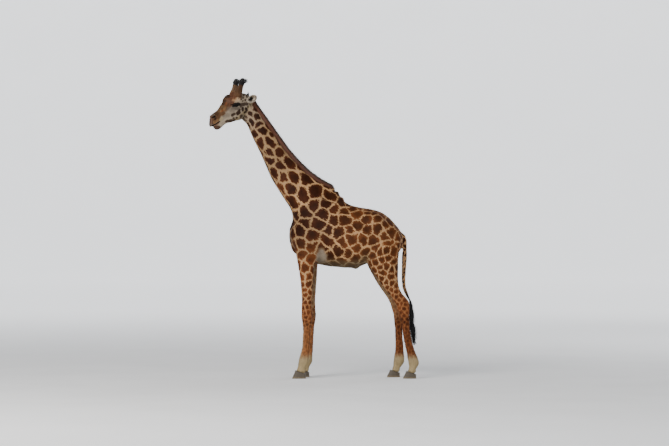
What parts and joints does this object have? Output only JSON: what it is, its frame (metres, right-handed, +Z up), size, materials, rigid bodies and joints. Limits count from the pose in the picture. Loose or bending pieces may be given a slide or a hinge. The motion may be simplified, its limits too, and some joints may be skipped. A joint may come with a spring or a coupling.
{
  "type": "giraffe",
  "caption": "Life-size still model of a young bull giraffe, standing square with its head turned a little to its left, in a patched coat with a short mane and a tufted tail.",
  "frame": {"origin": "on the ground under the middle of the animal's box", "axes": "+Z up, the animal faces -X and its left side is towards -Y"},
  "size_m": [3.1269, 0.6695, 4.4697],
  "materials": {
    "coat": "short matt fur, dark brown patches on tan",
    "mane_hair": "short stiff red-brown hair",
    "dark_hair": "long black hair",
    "hoof_horn": "dull dark horn",
    "eye": "wet and glossy, very dark brown"
  },
  "bodies": {
    "root": {"head": "coat", "neck": "coat", "trunk": "coat", "foreleg_left": "coat", "foreleg_right": "coat", "hindleg_left": "coat", "hindleg_right": "coat", "ear_left": "coat", "ear_right": "coat", "ossicone_left": "coat", "ossicone_right": "coat", "tail": "coat", "hoof_foreleg_left_outer": "hoof_horn", "hoof_foreleg_left_inner": "hoof_horn", "hoof_foreleg_right_outer": "hoof_horn", "hoof_foreleg_right_inner": "hoof_horn", "hoof_hindleg_left_outer": "hoof_horn", "hoof_hindleg_left_inner": "hoof_horn", "hoof_hindleg_right_outer": "hoof_horn", "hoof_hindleg_right_inner": "hoof_horn", "eye_left": "eye", "eye_right": "eye", "mane": "mane_hair", "tail_tuft": "dark_hair"}
  },
  "joints": []
}
